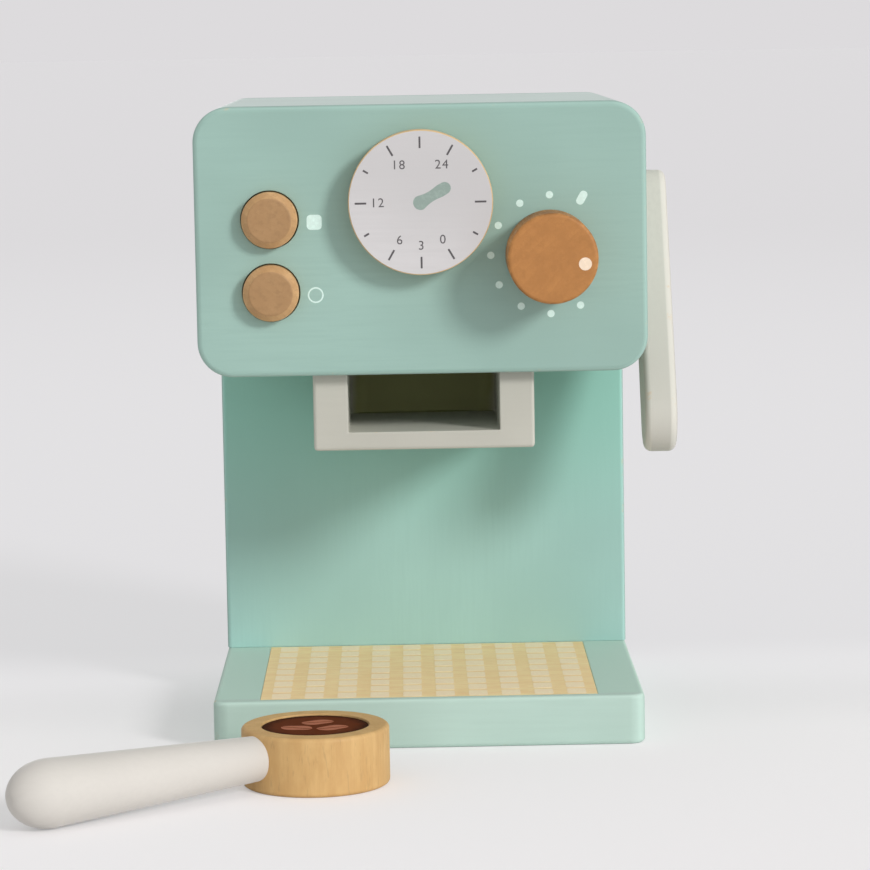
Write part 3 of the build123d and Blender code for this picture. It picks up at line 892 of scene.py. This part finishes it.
class Holder(bpy.types.Operator):
    """Shape the white holder with the slot for the portafilter"""

    bl_idname = "coffee_maker.holder"
    bl_label = "Holder"

    def execute(self, context):
        low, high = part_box("holder")
        wall, floor, depth = 11 * MM, 5.8 * MM, 58 * MM
        corner, rear_corner, near = 1.2 * MM, 6 * MM, 0.5 * MM
        piece = block("holder_block", low, high)
        round_edges(piece, corner, 4, along("z"), at("z", low.z))
        slot_low = Vector((low.x + wall, low.y - MM, low.z + floor))
        slot_high = Vector((high.x - wall, low.y + depth, high.z + MM))
        cutter = block("slot_cutter", slot_low, slot_high)
        round_uprights(cutter, slot_high.y, rear_corner, 8)
        cut(piece, cutter)
        ease_sharp(piece, 0.4 * MM)
        hand_over(piece, "machine", "white_paint", "white_holder", "holder")
        # The slot's faces get the slot finish, with its painted light and painted shade.
        finish_faces(
            piece,
            "slot",
            lambda middle, normal: slot_low.x - near < middle.x < slot_high.x + near
            and low.y + 0.3 * MM < middle.y < slot_high.y + near
            and middle.z > slot_low.z - 0.2 * MM,
        )
        return {"FINISHED"}


class Tray(bpy.types.Operator):
    """Shape the drip tray's plate and print its squares"""

    bl_idname = "coffee_maker.tray"
    bl_label = "Drip tray"

    def execute(self, context):
        s = sizes()
        low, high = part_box("drip_tray_plate")
        plate = block("tray_plate", low, high)
        ease_sharp(plate, 0.15 * MM)
        hand_over(plate, "machine", "tray_plate", "tray", "drip_tray_plate")
        spread = Vector((s.tray_columns - 1, s.tray_rows - 1)) * s.tray_pitch / 2
        squares = print_bar(s.tray_square, s.tray_square_depth, *-spread, corner=0.14)
        squares.name = "tray_squares"
        spaced = {"use_relative_offset": False, "use_constant_offset": True}
        for count, way in ((s.tray_columns, RIGHT), (s.tray_rows, -FRONT)):
            spaced |= {"count": count, "constant_offset_displace": way * s.tray_pitch}
            apply_modifier(squares, "ARRAY", **spaced)
        stand(squares, UP, middle_of("drip_tray_plate", z=high.z))
        hand_over(squares, "machine", "tray_plate", "tray_square")
        return {"FINISHED"}


def shape_pointer():
    """The printed hand: a round hub, a waist and a broad tip."""
    span, hub, tip, waist = 8.7 * MM, 2.3 * MM, 1.9 * MM, 0.22
    piece = flat_disc(48, hub)
    piece.name = "dial_pointer"
    with editing(piece):
        pick(piece, "VERT", lambda corner: corner.co.x > -NEAR)
        bpy.ops.transform.translate(value=(span, 0, 0))
        share = tip / hub
        bpy.ops.transform.resize(value=(share, share, 1), center_override=(span, 0, 0))
        pick_edges(piece, lambda a, b: abs(a.x - b.x) > span / 2)
        bpy.ops.mesh.subdivide(number_cuts=15)
    for corner in piece.data.vertices:
        share = min(max(corner.co.x / (0.8 * span), 0), 1)
        corner.co.y *= 1 - waist * sin(pi * share)
    return thicken(lay(piece, 0, 0, 30))


class Dial(bpy.types.Operator):
    """Turn the dial and print its face, scale, numbers and pointer"""

    bl_idname = "coffee_maker.dial"
    bl_label = "Dial"

    def execute(self, context):
        s = sizes()
        disc = turned_disc("dial_wood", "dial_disc", 160, (0.5 * MM, 4), (0.4 * MM, 2))
        hand_over(disc, "dial", "dial_face", "rim", "dial_disc")
        front = middle_of("dial_disc", y=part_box("dial_disc")[0].y)
        radius = s.dial_face / 2
        face = turned("dial_face", [(-0.3 * MM, radius), (0.02 * MM, radius)], 160)
        marks = []
        for hour in range(12):
            way = 90 - 30 * hour
            tick = s.long_tick if hour % 2 == 1 or hour % 3 == 0 else s.short_tick
            place = around(s.tick_radius - tick / 2, way)
            marks.append(print_bar(tick, s.tick_width, *place, way, 0.2))
        numbers = {5: 0, 6: 3, 7: 6, 9: 12, 11: 18, 1: 24}
        for hour, number in numbers.items():
            place = around(s.number_radius, 90 - 30 * hour)
            marks.append(print_number(number, *place))
        prints = (
            (face, "dial_white"),
            (merged("dial_scale", marks), "dial_grey"),
            (shape_pointer(), "pointer"),
        )
        for piece, finish in prints:
            stand(piece, FRONT, front)
            hand_over(piece, "dial", "dial_face", finish)
        return {"FINISHED"}


class Knob(bpy.types.Operator):
    """Turn the knob, print its index dot and the scale of dots around it"""

    bl_idname = "coffee_maker.knob"
    bl_label = "Knob"

    def execute(self, context):
        s = sizes()
        knob = turned_disc("knob_wood", "knob", 128, (1.2 * MM, 5), (0.5 * MM, 2))
        hand_over(knob, "knob", "warm_beech", "knob", "knob")
        dot = print_disc(s.index_dot, *around(s.index_radius, -10))
        dot.name = "knob_index"
        stand(dot, FRONT, middle_of("knob", y=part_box("knob")[0].y))
        hand_over(dot, "knob", "warm_beech", "index")
        dots = [print_disc(s.dot, *around(s.dot_radius, turn)) for turn in range(90, 301, 30)]
        way, width, depth = 60, 4.6 * MM, 2.5 * MM
        place = around(s.dot_radius + 1.6 * MM, way)
        dots.append(print_bar(width, depth, *place, way, 0.45))
        scale = merged("knob_scale", dots)
        stand(scale, FRONT, middle_of("knob", y=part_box("head_front_panel")[0].y))
        hand_over(scale, "machine", "mint_paint", "panel_print")
        return {"FINISHED"}


def shape_button(name):
    """A button with its stem, flange and chamfered head."""
    stem, flange, head, chamfer, ease = 3 * MM, 11 * MM, 8.75 * MM, 2 * MM, 0.4 * MM
    tail, flange_end = 19 * MM, 22 * MM
    low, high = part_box(name)
    depth = high.y - low.y
    shoulder, top = depth - chamfer, head - chamfer
    outline = [(0, stem), (tail, stem), (tail, flange), (flange_end, flange)]
    outline += [(flange_end, head), (shoulder, head), (depth, top)]
    rims = [(depth, top, ease, 3), (shoulder, head, ease, 3)]
    button = turned(f"{name}_wood", outline, rims=rims)
    stand(button, FRONT, middle_of(name, y=high.y))
    hand_over(button, name, "warm_beech", "button", name, smooth=30)


def coil_spring(node):
    """The coil spring behind a button; the real one shortens as the button goes in, but this
    coil keeps its length.
    """
    wire, turns, travel, sides = 0.9 * MM, 5, 3 * MM, 12
    low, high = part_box(node)
    depth = high.y - low.y
    bpy.ops.mesh.primitive_circle_add(
        vertices=sides,
        radius=wire / 2,
        location=((high.x - low.x - wire) / 2, 0, wire / 2),
        rotation=(pi / 2, 0, 0),
    )
    coil = bpy.context.object
    coil.name = f"{node}_coil"
    apply_place(coil)
    gap = (depth - wire) / turns
    apply_modifier(coil, "SCREW", iterations=turns, screw_offset=gap, steps=32, render_steps=32)
    with editing(coil, "SELECT"):
        bpy.ops.mesh.fill_holes(sides=sides)
    tidy_mesh(coil)
    stand(coil, -FRONT, middle_of(node, y=low.y))
    hand_over(coil, "machine", "spring_steel", "steel", node)
    middle, keep = middle_of(node), 1 - travel / depth
    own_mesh(coil)


class Buttons(bpy.types.Operator):
    """Turn the two push buttons and print their symbols"""

    bl_idname = "coffee_maker.buttons"
    bl_label = "Buttons"

    def execute(self, context):
        for name in ("button_upper", "button_lower"):
            shape_button(name)
            coil_spring(f"{name}_spring")
        side, rim, wire = 4.7 * MM, 2.25 * MM, 0.24 * MM
        square = print_bar(side, side, 0, 0, corner=0.25)
        bpy.ops.mesh.primitive_torus_add(
            major_radius=rim, minor_radius=wire, major_segments=48, minor_segments=12
        )
        ring = bpy.context.object
        ring.scale.z = 0.2
        apply_place(ring)
        panel_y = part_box("head_front_panel")[0].y
        aside = Vector((13.9, 0, -1)) * MM
        for symbol, name in ((square, "button_upper"), (ring, "button_lower")):
            stand(symbol, FRONT, middle_of(name, y=panel_y) + aside)
        symbols = merged("button_symbols", [square, ring])
        hand_over(symbols, "machine", "mint_paint", "panel_print")
        return {"FINISHED"}


class Lever(bpy.types.Operator):
    """Shape the paddle on the right side"""

    bl_idname = "coffee_maker.lever"
    bl_label = "Lever"

    def execute(self, context):
        low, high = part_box("lever")
        top, end, edge = 10 * MM, 12.5 * MM, 2.5 * MM
        ends = []
        places = ((high.y - top, high.z - top, top), (low.y + end, low.z + end, end))
        for y, z, radius in places:
            disc = turned("paddle_end", [(0, radius), (high.x - low.x, radius)])
            ends.append(stand(disc, RIGHT, (low.x, y, z)))
        paddle = merged("lever_paddle", ends)
        with editing(paddle, "SELECT"):
            bpy.ops.mesh.convex_hull()
            bpy.ops.mesh.select_all(action="SELECT")
            bpy.ops.mesh.dissolve_limited(angle_limit=radians(0.5))
        tidy_mesh(paddle)
        for x in (low.x, high.x):
            round_edges(paddle, edge, 6, at("x", x))
        hand_over(paddle, "lever", "white_paint", "white_lever", "lever")
        return {"FINISHED"}


def half_bean(x, y, degrees, side):
    """Half of a printed coffee bean, beside its wavy crease."""
    span, width, wave = 5.0 * MM, 3.1 * MM, 0.5 * MM
    crease = side * 0.35 * MM
    half = flat_disc(48, 1)
    half.scale = (span, width, 1)
    apply_place(half)
    with editing(half, "SELECT"):
        bpy.ops.mesh.bisect(plane_co=(0, crease, 0), plane_no=(0, -side, 0), clear_outer=True)
        pick_edges(half, at("y", crease))
        bpy.ops.mesh.subdivide(number_cuts=11)
    for corner in half.data.vertices:
        corner.co.y += wave * sin(pi * corner.co.x / span)
    return thicken(lay(half, x, y, degrees))


def shape_handle():
    """The handle, turned along its axis and laid beside the cup."""
    height, seat, neck = 10.4 * MM, 21.45 * MM, 6.8 * MM
    grip, tip, nose, steps = 10.2 * MM, 106.5 * MM, 13 * MM, 14
    outline = [(seat, neck), (tip - nose, grip)]
    for step in range(1, steps):
        turn = radians(90 * step / steps)
        outline.append((tip - nose + nose * sin(turn), grip * cos(turn)))
    handle = turned("handle_grip", outline, rims=[(seat, neck, 0.5 * MM, 3)])
    stand(handle, (*around(1, 216), 0), middle_of("coffee_disc", z=height))
    node = "portafilter_handle"
    hand_over(handle, "portafilter", "white_paint", "white_handle", node)


class Portafilter(bpy.types.Operator):
    """Turn the cup, the coffee disc and the handle of the portafilter"""

    bl_idname = "coffee_maker.portafilter"
    bl_label = "Portafilter"

    def execute(self, context):
        low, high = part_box("portafilter_cup")
        coffee_low, coffee_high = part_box("coffee_disc")
        radius, coffee = (high.x - low.x) / 2, (coffee_high.x - coffee_low.x) / 2
        edge, ease = 1.3 * MM, 0.4 * MM
        recess, top, bottom = coffee + 0.15 * MM, high.z, coffee_low.z
        outline = [(0, radius), (top, radius), (top, recess), (bottom, recess)]
        rims = [(0, radius, edge, 4), (top, radius, edge, 5), (top, recess, ease, 2)]
        cup = turned("cup_wood", outline, 128, rims)
        stand(cup, UP, middle_of("coffee_disc", z=low.z))
        hand_over(cup, "portafilter", "pale_beech", "cup", "portafilter_cup")
        depth = coffee_high.z - coffee_low.z
        rims = [(depth, coffee, ease, 2)]
        disc = turned("coffee_wood", [(0, coffee), (depth, coffee)], 128, rims)
        stand(disc, UP, middle_of("coffee_disc", z=coffee_low.z))
        hand_over(disc, "portafilter", "coffee_brown", "coffee", "coffee_disc")
        beans = []
        for x, y, degrees in ((0.6, 5.4, 12), (-5.6, -2.6, -24), (5.3, -3.2, 20)):
            beans += [half_bean(x * MM, y * MM, degrees, side) for side in (1, -1)]
        printed = merged("coffee_beans", beans)
        stand(printed, UP, middle_of("coffee_disc", z=coffee_high.z))
        hand_over(printed, "portafilter", "coffee_brown", "bean")
        shape_handle()
        return {"FINISHED"}


def lay_floor(stage):
    """The floor, with a tone of its own for the camera."""
    c = colours()
    bpy.ops.mesh.primitive_plane_add(size=stage.floor_width)
    floor = bpy.context.object
    floor.name = "studio_floor"
    place, _ = new_finish("floor")
    nodes = place.id_data.nodes
    view = nodes.new("ShaderNodeLightPath").outputs["Is Camera Ray"]
    span = reach(place)
    behind = between(part_of(place, "Y"), -0.06, 0.12)
    behind = math("MAXIMUM", behind, between(span, 0.3, 0.6))
    away = between(span, 0.6, 3.0)
    shade = blend(behind, c.near_floor, c.middle_floor)
    shade = blend(away, shade, c.far_floor)
    shader = join_shader(blend(view, c.floor, shade), 0.9, gloss=0.2)
    lift = between(behind, 0, 1, stage.near_lift, stage.far_lift)
    glow = add_node("ShaderNodeEmission", {"Strength": math("MULTIPLY", lift, view)})
    both = add_node("ShaderNodeAddShader", {0: shader, 1: glow})
    feed(nodes["Material Output"].inputs["Surface"], both)
    floor.data.materials.append(finish_of("floor"))


def fill_air(stage):
    """Soft light all round, with a tone of its own for the camera."""
    world = bpy.data.worlds.new("studio_air")
    bpy.context.scene.world = world
    world.use_nodes = True
    path = world.node_tree.nodes.new("ShaderNodeLightPath").outputs
    seen = path["Is Camera Ray"]
    for ray in ("Is Glossy Ray", "Is Transmission Ray"):
        seen = math("MAXIMUM", seen, path[ray])
    sky = world.node_tree.nodes["Background"].inputs
    feed(sky["Strength"], between(seen, 0, 1, stage.world_strength, 1))
    feed(sky["Color"], blend(seen, (1, 1, 1), colours().air))


def hang_lights(stage):
    """The key light and a broad light at each side."""
    broad = radians(50)
    lights = (
        ("key_light", stage.key_strength, stage.key_softness, stage.key_from),
        ("right_light", stage.right_strength, broad, (0.7, -1, 0.3)),
        ("left_light", stage.left_strength, broad, (-0.7, -1, 0.2)),
    )
    for name, strength, softness, way in lights:
        bpy.ops.object.light_add(type="SUN", location=way)
        light = bpy.context.object
        light.name = name
        light.data.energy = strength
        light.data.angle = softness
        light.rotation_euler = Vector(way).to_track_quat("Z", "Y").to_euler()


def set_camera(stage):
    """The camera, and the plain view transform."""
    bpy.ops.object.camera_add(location=stage.camera_place)
    camera = bpy.context.object
    camera.name = "studio_camera"
    look = Matrix.Rotation(-stage.camera_yaw, 4, "Z")
    look = look @ Matrix.Rotation(pi / 2 - stage.camera_pitch, 4, "X")
    look = look @ Matrix.Rotation(stage.camera_roll, 4, "Z")
    camera.rotation_euler = look.to_euler()
    camera.data.lens = stage.lens
    camera.data.sensor_width = 36
    camera.data.clip_end = 100
    bpy.context.scene.camera = camera
    bpy.context.scene.view_settings.view_transform = "Standard"


class Studio(bpy.types.Operator):
    """Lay the floor, hang the lights and set up the camera"""

    bl_idname = "coffee_maker.studio"
    bl_label = "Studio"

    def execute(self, context):
        stage = context.scene.coffee_maker_stage
        lay_floor(stage)
        fill_air(stage)
        hang_lights(stage)
        set_camera(stage)
        return {"FINISHED"}


class CoffeeMakerPanel(bpy.types.Panel):
    """Sizes, colours and operators of the coffee maker"""

    bl_idname = "VIEW3D_PT_coffee_maker"
    bl_label = "Coffee Maker"
    bl_space_type = "VIEW_3D"
    bl_region_type = "UI"
    bl_category = "Coffee Maker"

    def draw(self, context):
        for group, kind in GROUPS.items():
            column = self.layout.column(align=True)
            for name in kind.__annotations__:
                column.prop(getattr(context.scene, group), name)
        for operator in OPERATORS:
            self.layout.operator(operator.bl_idname)


OPERATORS = (Finishes, Boards, Holder, Tray, Dial, Knob, Buttons, Lever, Portafilter, Studio)
GROUPS = {
    "coffee_maker_colours": CoffeeMakerColours,
    "coffee_maker_sizes": CoffeeMakerSizes,
    "coffee_maker_stage": CoffeeMakerStage,
}


def register():
    for name, group in GROUPS.items():
        bpy.utils.register_class(group)
        setattr(bpy.types.Scene, name, PointerProperty(type=group))
    for kind in (*OPERATORS, CoffeeMakerPanel):
        bpy.utils.register_class(kind)


def unregister():
    for kind in (CoffeeMakerPanel, *reversed(OPERATORS)):
        bpy.utils.unregister_class(kind)
    for name, group in reversed(GROUPS.items()):
        delattr(bpy.types.Scene, name)
        bpy.utils.unregister_class(group)


def main():
    """Build everything in order."""
    register()
    bpy.ops.object.select_all(action="DESELECT")
    bpy.ops.coffee_maker.finishes()
    bpy.ops.coffee_maker.boards()
    bpy.ops.coffee_maker.holder()
    bpy.ops.coffee_maker.tray()
    bpy.ops.coffee_maker.dial()
    bpy.ops.coffee_maker.knob()
    bpy.ops.coffee_maker.buttons()
    bpy.ops.coffee_maker.lever()
    bpy.ops.coffee_maker.portafilter()
    bpy.ops.coffee_maker.studio()


if __name__ == "__main__":
    main()
